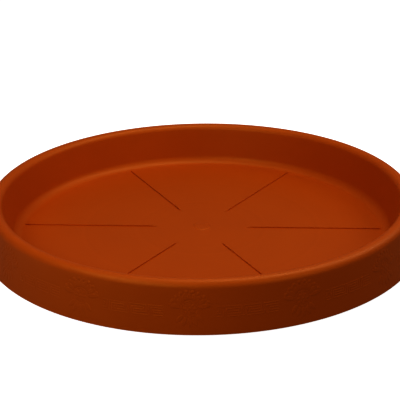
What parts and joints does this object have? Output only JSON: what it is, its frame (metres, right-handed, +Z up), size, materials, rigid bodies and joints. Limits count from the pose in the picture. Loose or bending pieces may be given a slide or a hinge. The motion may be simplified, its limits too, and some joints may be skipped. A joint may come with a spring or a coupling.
{
  "type": "plant saucer",
  "caption": "Round plant pot saucer with a flat floor, low raised ribs, a leaning inner wall, a rolled rim and a flared outer skirt that is open underneath.",
  "frame": {"origin": "on the ground, below the middle of the floor", "axes": "+Z up along the saucer's axis; +X along one of the six floor ribs; a frieze medallion faces -Y"},
  "size_m": [0.4, 0.4, 0.042],
  "materials": {
    "terracotta_plastic": "satin-matt moulded polypropylene, coloured through"
  },
  "bodies": {
    "root": {"saucer": "terracotta_plastic"}
  },
  "joints": []
}
